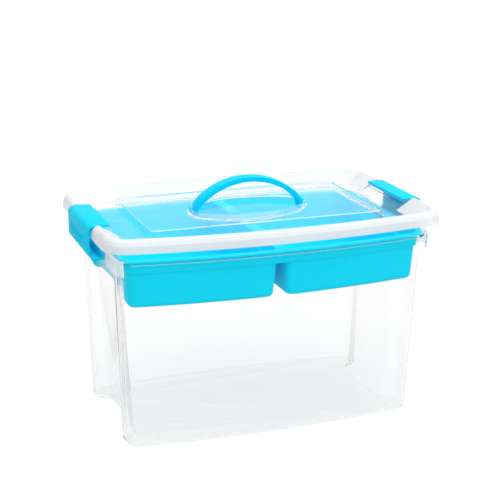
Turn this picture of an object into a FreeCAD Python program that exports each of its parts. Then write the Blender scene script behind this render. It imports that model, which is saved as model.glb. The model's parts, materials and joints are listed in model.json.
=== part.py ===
import FreeCAD, Part
import math
import os

import Sketcher

doc = FreeCAD.newDocument("sewing_box")

# ---------------------------------------------------------------- driving dimensions, millimetres
DIMENSIONS = [
    # tub, outside sizes at the floor and just under the ledge
    ("wall", 2.0, "wall of the tub"),
    ("floor_half_length", 165.0, "tub at the floor, half length"),
    ("floor_half_width", 87.5, "tub at the floor, half width at the corners"),
    ("floor_bow", 11.0, "tub at the floor, outward bow of each long side"),
    ("floor_corner", 15.0, "tub at the floor, corner radius in plan"),
    ("floor_waist", 17.4, "tub at the floor, depth of the waist in each short end"),
    ("ledge_height", 212.0, "top of the inside ledge that carries the insert"),
    ("ledge_half_length", 170.0, "tub under the ledge, half length"),
    ("ledge_half_width", 102.5, "tub under the ledge, half width at the corners"),
    ("ledge_bow", 13.5, "tub under the ledge, bow"),
    ("ledge_corner", 17.0, "tub under the ledge, corner radius"),
    ("ledge_waist", 6.0, "tub under the ledge, depth of the waist"),
    ("waist_inner", 49.0, "half width of the waist at its back wall"),
    ("waist_outer", 57.0, "half width of the waist at its mouth"),
    ("waist_hollow", 0.18, "hollow of the waist's back wall, as a share of its depth"),
    ("floor_edge", 3.0, "rounding of the floor's edge"),
    # collar above the ledge, and the skirts that hang from it at the corners
    ("collar_half_length", 174.5, "collar, half length"),
    ("collar_half_width", 107.0, "collar, half width at the corners"),
    ("collar_bow", 15.0, "collar, bow"),
    ("collar_corner", 21.5, "collar, corner radius"),
    ("tub_height", 230.6, "top of the collar"),
    ("skirt_out", 4.0, "corner skirt, how far it stands out from the collar"),
    ("skirt_low", 197.0, "corner skirt, lower edge"),
    ("skirt_start", 58.0, "corner skirt, where it starts along the short end"),
    ("skirt_wrap", 169.5, "corner skirt, where it ends along the long side"),
    ("skirt_rib", 2.5, "thickness of the end rib that holds the hinge rod"),
    # latch hinge rod, moulded on the tub
    ("rod_out", 175.0, "hinge rod, distance from the middle of the box"),
    ("rod_height", 205.3, "hinge rod, height"),
    ("rod_radius", 2.5, "hinge rod, radius"),
    ("rod_clearance", 0.1, "running clearance of the latch on its rod"),
    # latch
    ("latch_length", 94.0, "latch, length along the short end"),
    ("latch_wall", 2.5, "latch, wall"),
    ("latch_out", 194.3, "latch, outer face"),
    ("latch_top", 238.7, "latch, top face"),
    ("latch_tip", 169.2, "latch, inner edge of the top plate"),
    ("latch_bend", 12.5, "latch, outer radius of the lower bend"),
    ("barrel_radius", 4.4, "latch, outer radius of the barrel round the rod"),
    ("snap_slot", 4.1, "latch, width of the slot that snaps over the rod"),
    # lid
    ("rim_half_length", 190.0, "lid rim, half length"),
    ("rim_half_width", 113.5, "lid rim, half width at the corners"),
    ("rim_bow", 18.0, "lid rim, bow"),
    ("rim_corner", 28.0, "lid rim, corner radius"),
    ("rim_low", 224.8, "lid, lower edge"),
    ("rim_shoulder", 233.0, "lid, top of the upright skirt"),
    ("rim_round", 236.9, "lid, middle of the rounding from the shoulder to the crest"),
    ("rim_crest", 239.0, "lid, crest of the rim"),
    ("shoulder_inset", 1.0, "lid, inset of the shoulder"),
    ("round_inset", 2.7, "lid, inset of the middle of the rounding"),
    ("crest_outer_inset", 6.0, "lid, inset of the crest's outer edge"),
    ("crest_inner_inset", 8.5, "lid, inset of the crest's inner edge"),
    ("panel_inset", 28.0, "lid, inset of the sunken floor"),
    ("lid_wall", 2.0, "lid, wall"),
    ("plateau_half_length", 133.0, "raised panel, half length at the top"),
    ("plateau_half_width", 75.0, "raised panel, half width at the top"),
    ("plateau_height", 235.6, "raised panel, top"),
    ("plateau_draft", 2.5, "raised panel, how much wider it is at its foot"),
    ("plateau_corner", 6.0, "raised panel, corner radius"),
    ("recess_half_length", 65.5, "finger recess, half length"),
    ("recess_end_half_width", 12.0, "finger recess, half width at its ends"),
    ("recess_half_width", 36.0, "finger recess, half width at its middle"),
    ("recess_floor", 228.0, "finger recess, floor"),
    ("recess_draft", 3.4, "finger recess, how much narrower it is at its floor"),
    ("saddle_gap", 0.4, "gap between the latch and the lid's rim"),
    ("saddle_half_length", 48.5, "saddle for the latch in the lid's rim, half length"),
    ("saddle_roof", 232.2, "underside of the lid's rim below the saddle"),
    ("ear_thickness", 4.6, "pivot ear, thickness"),
    ("ear_half_width", 5.0, "pivot ear, half width"),
    ("ear_height", 238.6, "pivot ear, top"),
    # carry handle
    ("pivot_height", 235.0, "handle pivot, height"),
    ("foot_middle", 62.0, "handle foot, distance of its middle plane from the middle of the lid"),
    ("foot_thickness", 4.0, "handle foot, thickness"),
    ("foot_gap", 0.4, "gap each side of a handle foot"),
    ("foot_splay", 4.4, "extra room in the foot's slot for the splayed leg when the handle is down"),
    ("strap_width", 16.0, "strap, width"),
    ("strap_thickness", 5.6, "strap, thickness of the arch"),
    ("strap_top", 268.0, "strap, top of the arch"),
    ("kink_out", 58.5, "strap, where leg and arch meet, out from the middle"),
    ("kink_height", 245.0, "strap, height of that meeting point"),
    ("pin_radius", 1.6, "handle pin, radius"),
    ("pin_length", 3.6, "handle pin, length"),
    ("pin_clearance", 0.08, "running clearance of the pin in its bore"),
    # tray insert
    ("insert_wall", 2.0, "insert, wall"),
    ("flange_gap", 0.6, "gap between the insert's flange and the collar"),
    ("band_gap", 1.0, "gap between the insert's upper band and the tub"),
    ("band_low", 198.5, "insert, lower edge of the upper band"),
    ("well_step", 2.6, "insert, step from the band in to the wells"),
    ("well_low", 159.0, "insert, underside of the wells"),
    ("well_draft", 2.0, "insert, how much narrower the wells are at the bottom"),
    ("slot_half_top", 5.0, "half width of the slot between the wells, at its top"),
    ("slot_half_low", 6.2, "half width of the slot between the wells, at its foot"),
    ("overrun", 40.0, "how far cutting blocks run past the piece they cut"),
]

SMALLEST_CORNER = 2.0
SIDES = (("left", -1), ("right", 1))

sheet = doc.addObject("Spreadsheet::Sheet", "Sizes")
for row, (alias, value, note) in enumerate(DIMENSIONS, start=1):
    sheet.set(f"A{row}", note)
    sheet.set(f"B{row}", str(value))
    sheet.setAlias(f"B{row}", alias)
doc.recompute()


def size(alias):
    """One driving dimension, read from the sheet."""
    return float(sheet.get(alias))


# ---------------------------------------------------------------- plan outlines
def plan(kind):
    """The outside plan of one level of the box, as a dictionary of its sizes."""
    return {
        "length": size(f"{kind}_half_length"),
        "width": size(f"{kind}_half_width"),
        "bow": size(f"{kind}_bow"),
        "corner": size(f"{kind}_corner"),
        "waist": 0.0,
        "inner": size("waist_inner"),
        "outer": size("waist_outer"),
    }


def wall_plan(height):
    """The tub's outside plan at a height: floor and ledge plans, blended."""
    share = height / size("ledge_height")
    low, high = plan("floor"), plan("ledge")
    low["waist"], high["waist"] = size("floor_waist"), size("ledge_waist")
    return {key: low[key] + (high[key] - low[key]) * share for key in low}


def inset(shape, amount):
    """The same plan with every side moved inward by an amount."""
    moved = dict(shape)
    moved["length"] -= amount
    moved["width"] -= amount
    moved["corner"] = max(moved["corner"] - amount, SMALLEST_CORNER)
    moved["inner"] += amount
    moved["outer"] += amount
    return moved


def arc(start, middle, end):
    return Part.Arc(start, middle, end).toShape()


def line(start, end):
    return Part.LineSegment(start, end).toShape()


def half_edges(shape, z):
    """Edges of the right half (x > 0), from the middle of the front to the middle of the back."""
    length, width, bow, corner = (shape[key] for key in ("length", "width", "bow", "corner"))
    radius = (length**2 + bow**2) / (2 * bow)
    centre = radius - width - bow
    corner_x = length - corner
    corner_y = centre - math.sqrt((radius - corner) ** 2 - corner_x**2)
    reach = radius / (radius - corner)
    touch = (corner_x * reach, centre + (corner_y - centre) * reach)
    turn = math.atan2(touch[1] - corner_y, touch[0] - corner_x) / 2
    round_middle = (corner_x + corner * math.cos(turn), corner_y + corner * math.sin(turn))
    side_turn = math.asin(touch[0] / radius) / 2
    side_middle = (radius * math.sin(side_turn), centre - radius * math.cos(side_turn))

    def at(x, y):
        return FreeCAD.Vector(x, y, z)

    front = [
        arc(at(0, -width - bow), at(*side_middle), at(*touch)),
        arc(at(*touch), at(*round_middle), at(length, corner_y)),
    ]
    back = [
        arc(at(length, -corner_y), at(round_middle[0], -round_middle[1]), at(touch[0], -touch[1])),
        arc(at(touch[0], -touch[1]), at(side_middle[0], -side_middle[1]), at(0, width + bow)),
    ]
    if not shape["waist"]:
        return front + [line(at(length, corner_y), at(length, -corner_y))] + back
    deep = length - shape["waist"]
    shoulder = length - shape["waist"] * (1 - size("waist_hollow"))
    end = [
        line(at(length, corner_y), at(length, -shape["outer"])),
        line(at(length, -shape["outer"]), at(shoulder, -shape["inner"])),
        arc(at(shoulder, -shape["inner"]), at(deep, 0), at(shoulder, shape["inner"])),
        line(at(shoulder, shape["inner"]), at(length, shape["outer"])),
        line(at(length, shape["outer"]), at(length, -corner_y)),
    ]
    return front + end + back


def outline(shape, z):
    """The closed outline of one plan at one height."""
    right = half_edges(shape, z)
    left = [edge.rotated(FreeCAD.Vector(0, 0, 0), FreeCAD.Vector(0, 0, 1), 180) for edge in right]
    return Part.Wire(right + left)


def rounded_rectangle(half_length, half_width, corner, z):
    """A closed rectangle with rounded corners at one height."""
    corners = [(1, -1, -90), (1, 1, 0), (-1, 1, 90), (-1, -1, 180)]
    arcs = []
    for x_side, y_side, start in corners:
        centre = FreeCAD.Vector(x_side * (half_length - corner), y_side * (half_width - corner), z)
        points = [
            centre + FreeCAD.Vector(
                corner * math.cos(math.radians(start + turn)),
                corner * math.sin(math.radians(start + turn)), 0)
            for turn in (0, 45, 90)
        ]
        arcs.append(points)
    edges = []
    for index, points in enumerate(arcs):
        edges.append(arc(*points))
        edges.append(line(points[2], arcs[(index + 1) % 4][0]))
    return Part.Wire(edges)


def recess_outline(extra, z):
    """The finger recess: two bowed sides between two short straight ends."""
    half_length = size("recess_half_length") + extra
    end_width = size("recess_end_half_width") + extra
    half_width = size("recess_half_width") + extra
    near = FreeCAD.Vector(half_length, -end_width, z)
    far = FreeCAD.Vector(half_length, end_width, z)
    back_near = FreeCAD.Vector(-half_length, end_width, z)
    back_far = FreeCAD.Vector(-half_length, -end_width, z)
    return Part.Wire([
        line(near, far),
        arc(far, FreeCAD.Vector(0, half_width, z), back_near),
        line(back_near, back_far),
        arc(back_far, FreeCAD.Vector(0, -half_width, z), near),
    ])


# ---------------------------------------------------------------- document helpers
def section(name, wire):
    feature = doc.addObject("Part::Feature", name)
    feature.Shape = wire
    return feature


def loft(name, wires):
    """A straight-sided solid through a stack of outlines."""
    feature = doc.addObject("Part::Loft", name)
    feature.Sections = [section(f"{name}_level_{i}", wire) for i, wire in enumerate(wires)]
    feature.Solid = True
    feature.Ruled = True
    return feature


def fuse(name, pieces):
    feature = doc.addObject("Part::MultiFuse", name)
    feature.Shapes = pieces
    feature.Refine = True
    return feature


def cut(name, base, tool):
    feature = doc.addObject("Part::Cut", name)
    feature.Base, feature.Tool = base, tool
    return feature


def common(name, pieces):
    feature = doc.addObject("Part::MultiCommon", name)
    feature.Shapes = pieces
    return feature


ALIASES = {alias for alias, _, _ in DIMENSIONS}


def in_sheet(text):
    """An expression whose words that name a cell are looked up in the sheet."""
    words = text.replace("(", " ( ").replace(")", " ) ").replace("-", " - ").split()
    return " ".join(f"Sizes.{word}" if word in ALIASES else word for word in words)


def bind(feature, **expressions):
    """Bind properties to the sheet; two underscores in a property's name stand for a dot."""
    for name, text in expressions.items():
        feature.setExpression(name.replace("__", "."), in_sheet(text))
    return feature


def box(name, x, y, z):
    """A box between a pair of expressions along each axis."""
    return bind(doc.addObject("Part::Box", name),
                Length=f"{x[1]} - ({x[0]})", Width=f"{y[1]} - ({y[0]})", Height=f"{z[1]} - ({z[0]})",
                Placement__Base__x=x[0], Placement__Base__y=y[0], Placement__Base__z=z[0])


def on_side(span, side):
    """A pair of expressions as it is for side 1, or mirrored for side -1."""
    return span if side > 0 else (f"-({span[1]})", f"-({span[0]})")


def about_middle(half):
    return f"-({half})", half


AXIS_ALONG_Y = FreeCAD.Rotation(FreeCAD.Vector(1, 0, 0), -90)
AXIS_ALONG_X = FreeCAD.Rotation(FreeCAD.Vector(0, 1, 0), 90)


def rod(name, x, y, z, radius, length, turn=AXIS_ALONG_Y):
    """A cylinder from the middle of its first face, along the turned axis."""
    feature = doc.addObject("Part::Cylinder", name)
    feature.Placement.Rotation = turn
    return bind(feature, Radius=radius, Height=length,
                Placement__Base__x=x, Placement__Base__y=y, Placement__Base__z=z)


# ---------------------------------------------------------------- tub
def build_tub():
    edge, wall = size("floor_edge"), size("wall")
    ledge, top = size("ledge_height"), size("tub_height")
    outside = loft("tub_outside", [
        outline(inset(wall_plan(0), edge), 0),
        outline(inset(wall_plan(edge / 3), edge / 3), edge / 3),
        outline(wall_plan(edge), edge),
        outline(wall_plan(ledge), ledge),
    ])
    inside = loft("tub_inside", [
        outline(inset(wall_plan(wall), wall + edge / 2), wall),
        outline(inset(wall_plan(wall + edge / 2), wall), wall + edge / 2),
        outline(inset(wall_plan(ledge), wall), ledge + wall / 2),
    ])
    collar = plan("collar")
    collar_outside = loft("collar_outside", [outline(collar, ledge - wall), outline(collar, top)])
    collar_inside = loft("collar_inside", [
        outline(inset(collar, wall), ledge), outline(inset(collar, wall), top + wall)])

    skirt = inset(collar, -size("skirt_out"))
    skirt_outside = loft("skirt_outside", [
        outline(inset(skirt, edge / 3), size("skirt_low")), outline(skirt, ledge + wall)])
    skirt_inside = loft("skirt_inside", [
        outline(inset(skirt, edge / 3 + wall), size("skirt_low") - wall),
        outline(inset(skirt, wall), ledge)])
    corners = fuse("skirt_corners", [
        box(f"skirt_corner_{name}_{end}",
            on_side(("skirt_wrap", "skirt_wrap + overrun"), side),
            on_side(("skirt_start", "skirt_start + 2 * overrun"), along),
            ("skirt_low - wall", "ledge_height + overrun"))
        for name, side in SIDES
        for end, along in (("front", -1), ("back", 1))
    ])
    skirts = common("skirts", [cut("skirt_shell", skirt_outside, skirt_inside), corners])
    rib_blocks = fuse("rib_blocks", [
        box(f"rib_{name}_{end}",
            on_side(("ledge_half_length - ledge_waist", "ledge_half_length + overrun"), side),
            on_side(("skirt_start", "skirt_start + skirt_rib"), along),
            ("skirt_low", "ledge_height"))
        for name, side in SIDES
        for end, along in (("front", -1), ("back", 1))
    ])
    ribs = common("ribs", [rib_blocks, skirt_outside])
    rods = fuse("hinge_rods", [
        rod(f"hinge_rod_{name}", f"{side} * rod_out", "-skirt_start - skirt_rib / 2", "rod_height",
            "rod_radius", "2 * skirt_start + skirt_rib")
        for name, side in SIDES
    ])
    solid = fuse("tub_solid", [outside, collar_outside, skirts, ribs, rods])
    hollow = fuse("tub_hollow", [inside, collar_inside])
    return cut("tub", solid, hollow)


# ---------------------------------------------------------------- lid
def build_lid():
    rim, wall = plan("rim"), size("lid_wall")
    low, crest = size("rim_low"), size("rim_crest")
    crest_out, crest_in = size("crest_outer_inset"), size("crest_inner_inset")
    shoulder, panel = size("shoulder_inset"), size("panel_inset")
    floor_top = low + wall
    slope = (crest - floor_top) / (panel - crest_in)
    drop = wall * math.hypot(1, slope)

    outside = loft("lid_outside", [
        outline(rim, low),
        outline(inset(rim, shoulder), size("rim_shoulder")),
        outline(inset(rim, size("round_inset")), size("rim_round")),
        outline(inset(rim, crest_out), crest),
    ])
    well = loft("lid_well", [
        outline(inset(rim, panel), floor_top),
        outline(inset(rim, crest_in), crest),
        outline(inset(rim, crest_in), crest + wall),
    ])
    channel_top = crest - drop
    channel_outside = loft("channel_outside", [
        outline(inset(rim, wall), low - wall),
        outline(inset(rim, wall + shoulder), size("rim_shoulder") - wall / 4),
        outline(inset(rim, crest_in - wall / 2), channel_top),
    ])
    foot = crest_in + (channel_top - (low - wall)) / slope
    channel_inside = loft("channel_inside", [
        outline(inset(rim, foot), low - wall), outline(inset(rim, crest_in), channel_top)])
    saddle_roofs = fuse("saddle_roofs", [
        box(f"saddle_roof_{name}",
            on_side(("rim_half_length - overrun", "rim_half_length + overrun"), side),
            about_middle("saddle_half_length + lid_wall"),
            ("saddle_roof", "saddle_roof + overrun"))
        for name, side in SIDES
    ])
    channel = cut("channel", cut("channel_ring", channel_outside, channel_inside), saddle_roofs)

    saddles = fuse("saddles", [
        cut(f"saddle_{name}",
            box(f"saddle_block_{name}", on_side(("rod_out - wall", "rod_out + overrun"), side),
                about_middle("saddle_half_length"), ("rim_low", "rim_low + overrun")),
            rod(f"saddle_round_{name}", f"{side} * rod_out", "-saddle_half_length - wall", "rod_height",
                "latch_top - latch_wall - saddle_gap - rod_height", "2 * (saddle_half_length + wall)"))
        for name, side in SIDES
    ])

    length, width = size("plateau_half_length"), size("plateau_half_width")
    draft, corner = size("plateau_draft"), size("plateau_corner")
    top = size("plateau_height")
    plateau = loft("plateau", [
        rounded_rectangle(length + draft, width + draft, corner + draft, low),
        rounded_rectangle(length, width, corner, top),
    ])
    under = loft("plateau_under", [
        rounded_rectangle(length + draft - wall, width + draft - wall, corner, low - wall),
        rounded_rectangle(length - wall, width - wall, corner - wall, top - wall),
    ])
    bowl_floor = size("recess_floor")
    bowl = loft("bowl", [
        recess_outline(wall - size("recess_draft"), bowl_floor - wall), recess_outline(wall, top)])
    recess = loft("recess", [
        recess_outline(-size("recess_draft"), bowl_floor), recess_outline(0, top),
        recess_outline(0, top + wall)])
    slot_inner = "foot_middle - foot_thickness / 2 - foot_gap - foot_splay"
    slot_outer = "foot_middle + foot_thickness / 2 + foot_gap"
    ears = [
        box(f"ear_{name}", on_side((slot_outer, f"{slot_outer} + ear_thickness"), side),
            about_middle("ear_half_width"), ("rim_low", "ear_height"))
        for name, side in SIDES
    ]
    foot_blocks = [
        box(f"foot_block_{name}",
            on_side((f"{slot_inner} - lid_wall", f"{slot_outer} + lid_wall"), side),
            about_middle("strap_width / 2 + foot_gap + lid_wall"), ("rim_low", "recess_floor"))
        for name, side in SIDES
    ]
    foot_slots = [
        box(f"foot_slot_{name}", on_side((slot_inner, slot_outer), side),
            about_middle("strap_width / 2 + foot_gap"),
            ("pivot_height - strap_width / 2 - foot_gap", "pivot_height + overrun"))
        for name, side in SIDES
    ]
    bores = [
        rod(f"bore_{name}", x, "0", "pivot_height", "pin_radius + pin_clearance",
            "pin_length + foot_gap", AXIS_ALONG_X)
        for name, x in (("left", "-foot_middle - foot_thickness / 2 - pin_length - foot_gap"),
                        ("right", "foot_middle + foot_thickness / 2"))
    ]
    shell = cut("lid_shell", cut("lid_open_top", outside, well), channel)
    raised = fuse("lid_raised", [shell, plateau])
    hollowed = cut("lid_hollowed", raised, under)
    with_bowl = fuse("lid_with_bowl", [hollowed, bowl] + foot_blocks + ears)
    recess_cutter = cut("recess_cutter", recess, fuse("ear_pair", ears))
    holes = fuse("lid_holes", [recess_cutter, saddles] + foot_slots + bores)
    return cut("lid", with_bowl, holes)


# ---------------------------------------------------------------- carry handle
START, END, CENTRE = 1, 2, 3
ORIGIN, Y_AXIS = -1, -2


def hold(sketch, geometry, point, x=None, height=None):
    """Hold one point of a sketch at distances from the origin given by expressions."""
    for kind, text in (("DistanceX", x), ("DistanceY", height)):
        if text is None:
            continue
        place = sketch.getPoint(geometry, point)
        value = place.x if kind == "DistanceX" else place.y
        index = sketch.addConstraint(
            Sketcher.Constraint(kind, ORIGIN, START, geometry, point, value))
        sketch.setExpression(f"Constraints[{index}]", in_sheet(text))


def strap_sketch(body):
    """Right half of the strap, seen from the front: arch above, splayed leg below."""
    sketch = body.newObject("Sketcher::SketchObject", "strap_profile")
    sketch.AttachmentSupport = [(origin_plane(body, "XZ_Plane"), "")]
    sketch.MapMode = "FlatFace"
    top, thick, foot = size("strap_top"), size("strap_thickness"), size("foot_thickness")
    kink_x, kink_z = size("kink_out"), size("kink_height")
    foot_z, foot_x = size("pivot_height"), size("foot_middle")
    rise = top - kink_z
    radius = (kink_x**2 + rise**2) / (2 * rise)
    centre_z = top - radius
    inner = (radius - thick) / radius
    flat = FreeCAD.Vector
    crown, under_crown = flat(0, top, 0), flat(0, top - thick, 0)
    kink = flat(kink_x, kink_z, 0)
    inner_kink = flat(kink_x * inner, centre_z + (kink_z - centre_z) * inner, 0)
    out_foot, in_foot = flat(foot_x + foot / 2, foot_z, 0), flat(foot_x - foot / 2, foot_z, 0)
    centre, normal = flat(0, centre_z, 0), flat(0, 0, 1)
    start_angle = math.atan2(kink_z - centre_z, kink_x)
    outer_arc = sketch.addGeometry(Part.ArcOfCircle(
        Part.Circle(centre, normal, radius), start_angle, math.pi / 2))
    inner_arc = sketch.addGeometry(Part.ArcOfCircle(
        Part.Circle(centre, normal, radius - thick), start_angle, math.pi / 2))
    crown_line = sketch.addGeometry(Part.LineSegment(crown, under_crown))
    outer_leg = sketch.addGeometry(Part.LineSegment(kink, out_foot))
    foot_line = sketch.addGeometry(Part.LineSegment(out_foot, in_foot))
    inner_leg = sketch.addGeometry(Part.LineSegment(in_foot, inner_kink))
    for first, first_point, second, second_point in (
            (outer_arc, END, crown_line, START), (inner_arc, END, crown_line, END),
            (outer_arc, START, outer_leg, START), (outer_leg, END, foot_line, START),
            (foot_line, END, inner_leg, START), (inner_leg, END, inner_arc, START),
            (outer_arc, CENTRE, inner_arc, CENTRE)):
        sketch.addConstraint(
            Sketcher.Constraint("Coincident", first, first_point, second, second_point))
    sketch.addConstraint(Sketcher.Constraint("Vertical", crown_line))
    sketch.addConstraint(Sketcher.Constraint("PointOnObject", outer_arc, CENTRE, Y_AXIS))
    sketch.addConstraint(Sketcher.Constraint("PointOnObject", crown_line, START, Y_AXIS))
    hold(sketch, crown_line, START, height="strap_top")
    hold(sketch, crown_line, END, height="strap_top - strap_thickness")
    hold(sketch, outer_leg, START, "kink_out", "kink_height")
    hold(sketch, outer_leg, END, "foot_middle + foot_thickness / 2", "pivot_height")
    hold(sketch, foot_line, END, "foot_middle - foot_thickness / 2", "pivot_height")
    return sketch


def origin_plane(body, role):
    return next(plane for plane in body.Origin.OriginFeatures if plane.Role == role)


def build_handle():
    body = doc.addObject("PartDesign::Body", "strap")
    sketch = strap_sketch(body)
    doc.recompute()
    pad = body.newObject("PartDesign::Pad", "strap_pad")
    pad.Profile = sketch
    pad.SideType = "Symmetric"
    bind(pad, Length="strap_width")
    doc.recompute()
    mirror = body.newObject("PartDesign::Mirrored", "strap_mirror")
    mirror.Originals = [pad]
    mirror.MirrorPlane = (origin_plane(body, "YZ_Plane"), [""])
    body.Tip = mirror
    doc.recompute()
    pieces = [body]
    for side, foot, pin in (
            ("left", "-foot_middle - foot_thickness / 2",
             "-foot_middle - foot_thickness / 2 - pin_length"),
            ("right", "foot_middle - foot_thickness / 2", "foot_middle + foot_thickness / 2")):
        pieces.append(rod(f"foot_{side}", foot, "0", "pivot_height", "strap_width / 2",
                          "foot_thickness", AXIS_ALONG_X))
        pieces.append(rod(f"pin_{side}", pin, "0", "pivot_height", "pin_radius", "pin_length",
                          AXIS_ALONG_X))
    return fuse("carry_handle", pieces)


# ---------------------------------------------------------------- latches
def build_latch(side):
    """One latch, drawn for the right end; the left one is the same piece turned half round."""
    low = "rod_height - barrel_radius"
    bend_x, bend_z = "latch_out - latch_bend", f"{low} + latch_bend"

    def piece(name, x, z):
        return box(f"{name}_{side}", x, about_middle("latch_length / 2"), z)

    def round_bar(name, x, z, radius):
        return rod(f"{name}_{side}", x, "-latch_length / 2", z, radius, "latch_length")

    bend = common(f"bend_{side}", [
        cut(f"bend_ring_{side}", round_bar("bend_outer", bend_x, bend_z, "latch_bend"),
            round_bar("bend_inner", bend_x, bend_z, "latch_bend - latch_wall")),
        piece("bend_corner", (bend_x, "latch_out"), (low, bend_z)),
    ])
    solid = fuse(f"latch_solid_{side}", [
        piece("top_plate", ("latch_tip", "latch_out"), ("latch_top - latch_wall", "latch_top")),
        piece("outer_wall", ("latch_out - latch_wall", "latch_out"), (bend_z, "latch_top")),
        bend,
        piece("lower_plate", ("rod_out", bend_x), (low, f"{low} + latch_wall")),
        round_bar("barrel", "rod_out", "rod_height", "barrel_radius"),
    ])
    hole = fuse(f"latch_hole_{side}", [
        round_bar("bore_for_rod", "rod_out", "rod_height", "rod_radius + rod_clearance"),
        piece("snap_slot_cut", ("rod_out - 2 * barrel_radius", "rod_out"),
              ("rod_height - snap_slot / 2", "rod_height + snap_slot / 2")),
    ])
    latch = cut(f"latch_{side}", solid, hole)
    if side == "left":
        latch.Placement.Rotation = FreeCAD.Rotation(FreeCAD.Vector(0, 0, 1), 180)
    return latch


# ---------------------------------------------------------------- tray insert
def build_insert():
    wall, ledge = size("insert_wall"), size("ledge_height")
    band_low, low = size("band_low"), size("well_low")
    clearance, step = size("wall") + size("band_gap"), size("well_step")
    draft = size("well_draft")
    flange_plan = inset(plan("collar"), size("wall") + size("flange_gap"))
    flange = loft("flange", [outline(flange_plan, ledge), outline(flange_plan, ledge + wall)])
    band_top, band_foot = inset(wall_plan(ledge), clearance), inset(wall_plan(band_low), clearance)
    band = loft("band", [outline(band_foot, band_low), outline(band_top, ledge)])
    well_top = inset(wall_plan(band_low), clearance + step)
    well_foot = inset(wall_plan(low), clearance + step + draft / 2)
    rounding = wall
    wells = loft("wells", [
        outline(inset(well_foot, rounding), low),
        outline(well_foot, low + rounding),
        outline(well_top, band_low),
    ])
    hollow_lower = loft("hollow_lower", [
        outline(inset(well_foot, wall + rounding / 2), low + wall),
        outline(inset(well_foot, wall), low + 2 * wall),
        outline(inset(well_top, wall), band_low),
    ])
    hollow_upper = loft("hollow_upper", [
        outline(inset(well_top, wall), band_low),
        outline(inset(band_foot, wall), band_low + wall),
        outline(inset(band_top, wall), ledge + 2 * wall),
    ])

    def wedge(name, half_low, half_high, half_width, z_low, z_high):
        """A tapered wall or slot across the middle of the insert."""
        def rectangle(half, z):
            corners = [FreeCAD.Vector(x, y, z) for x, y in (
                (-half, -half_width), (half, -half_width), (half, half_width), (-half, half_width))]
            return Part.makePolygon(corners + corners[:1])
        return loft(name, [rectangle(half_low, z_low), rectangle(half_high, z_high)])

    slot_low, slot_top = size("slot_half_low"), size("slot_half_top")
    past_the_walls = size("collar_half_width") + 2 * size("collar_bow")
    divider = wedge("divider", slot_low + wall, slot_top + wall, past_the_walls, low - wall, ledge + 3 * wall)
    slot_between_wells = wedge("slot_between_wells", slot_low, slot_top, past_the_walls, low - wall, band_low)
    slot_above = wedge("slot_above", slot_top, slot_top - wall / 2, band_foot["width"] - step - 2 * wall,
                       band_low - wall, ledge - wall)
    hollows = cut("hollows", fuse("hollow_pair", [hollow_lower, hollow_upper]), divider)
    solid = fuse("insert_solid", [flange, band, wells])
    return cut("tray_insert", solid, fuse("insert_cuts", [hollows, slot_between_wells, slot_above]))


# ---------------------------------------------------------------- build, check and write
nodes = [build_tub(), build_lid(), build_handle(), build_latch("left"), build_latch("right"),
         build_insert()]
doc.recompute()

for feature in doc.Objects:
    if "Invalid" in feature.State or "Error" in feature.State:
        raise RuntimeError(f"{feature.Name} did not compute: {feature.State}")

os.makedirs("parts", exist_ok=True)
for node in nodes:
    node.Label = node.Name
    shape = node.Shape
    if shape.isNull() or not shape.isValid() or len(shape.Solids) != 1:
        raise RuntimeError(f"{node.Name}: {len(shape.Solids)} solids, valid {shape.isValid()}")
    shape.exportStep(f"parts/{node.Label}.step")
    print(f"{node.Label}: {shape.Volume / 1000:.1f} cm3")
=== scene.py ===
import json
import math

import bmesh
import bpy
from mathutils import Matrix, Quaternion, Vector


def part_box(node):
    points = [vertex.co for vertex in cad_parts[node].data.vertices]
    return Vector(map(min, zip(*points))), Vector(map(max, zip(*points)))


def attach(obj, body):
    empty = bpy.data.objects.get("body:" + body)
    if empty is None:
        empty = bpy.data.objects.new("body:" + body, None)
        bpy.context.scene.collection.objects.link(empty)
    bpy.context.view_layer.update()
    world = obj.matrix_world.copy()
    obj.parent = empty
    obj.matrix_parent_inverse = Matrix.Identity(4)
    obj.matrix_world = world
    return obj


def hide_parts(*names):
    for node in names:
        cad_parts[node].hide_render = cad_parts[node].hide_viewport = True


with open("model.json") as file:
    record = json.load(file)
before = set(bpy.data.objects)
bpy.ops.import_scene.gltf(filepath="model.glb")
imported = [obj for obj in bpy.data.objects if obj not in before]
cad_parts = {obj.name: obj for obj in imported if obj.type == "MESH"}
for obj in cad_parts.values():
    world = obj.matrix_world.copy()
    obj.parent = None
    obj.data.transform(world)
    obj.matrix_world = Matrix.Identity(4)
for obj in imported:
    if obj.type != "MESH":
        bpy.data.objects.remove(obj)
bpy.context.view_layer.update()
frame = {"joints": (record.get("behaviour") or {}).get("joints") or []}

# ---------------------------------------------------------------- sizes, metres
MM = 0.001
TUB_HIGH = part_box("tub")[1]
LID_LOW, LID_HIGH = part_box("lid")
INSERT_LOW, INSERT_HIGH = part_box("tray_insert")
LATCH_LOW, LATCH_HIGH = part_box("latch_right")
HANDLE_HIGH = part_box("carry_handle")[1]
JOINTS = {joint["name"]: joint for joint in frame["joints"]}
ROD = Vector(JOINTS["latch_right_hinge"]["pos_m"])
PIVOT = Vector(JOINTS["handle_swing"]["pos_m"])

# tub: the ledge is the collar's inner step, which carries the insert's flange
WALL = 2 * MM
FLANGE_TOP = INSERT_HIGH.z
LEDGE = FLANGE_TOP - WALL
SHELF = LEDGE - WALL
WALL_LEVELS = [z * MM for z in (12, 50, 100, 150, 190)]
SKIRT_LOW = 197 * MM
ROD_RADIUS, ROD_HALF = 2.5 * MM, 60 * MM

# latches, and the saddles pressed in to the lid's rim under them
LATCH_WALL, LATCH_GAP, GRIP_HEIGHT = 2.5 * MM, 0.4 * MM, 0.5 * MM
SADDLE_HALF = LATCH_HIGH.y + 1.5 * MM
SADDLE_REACH = LATCH_HIGH.z - LATCH_WALL - LATCH_GAP - ROD.z

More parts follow.
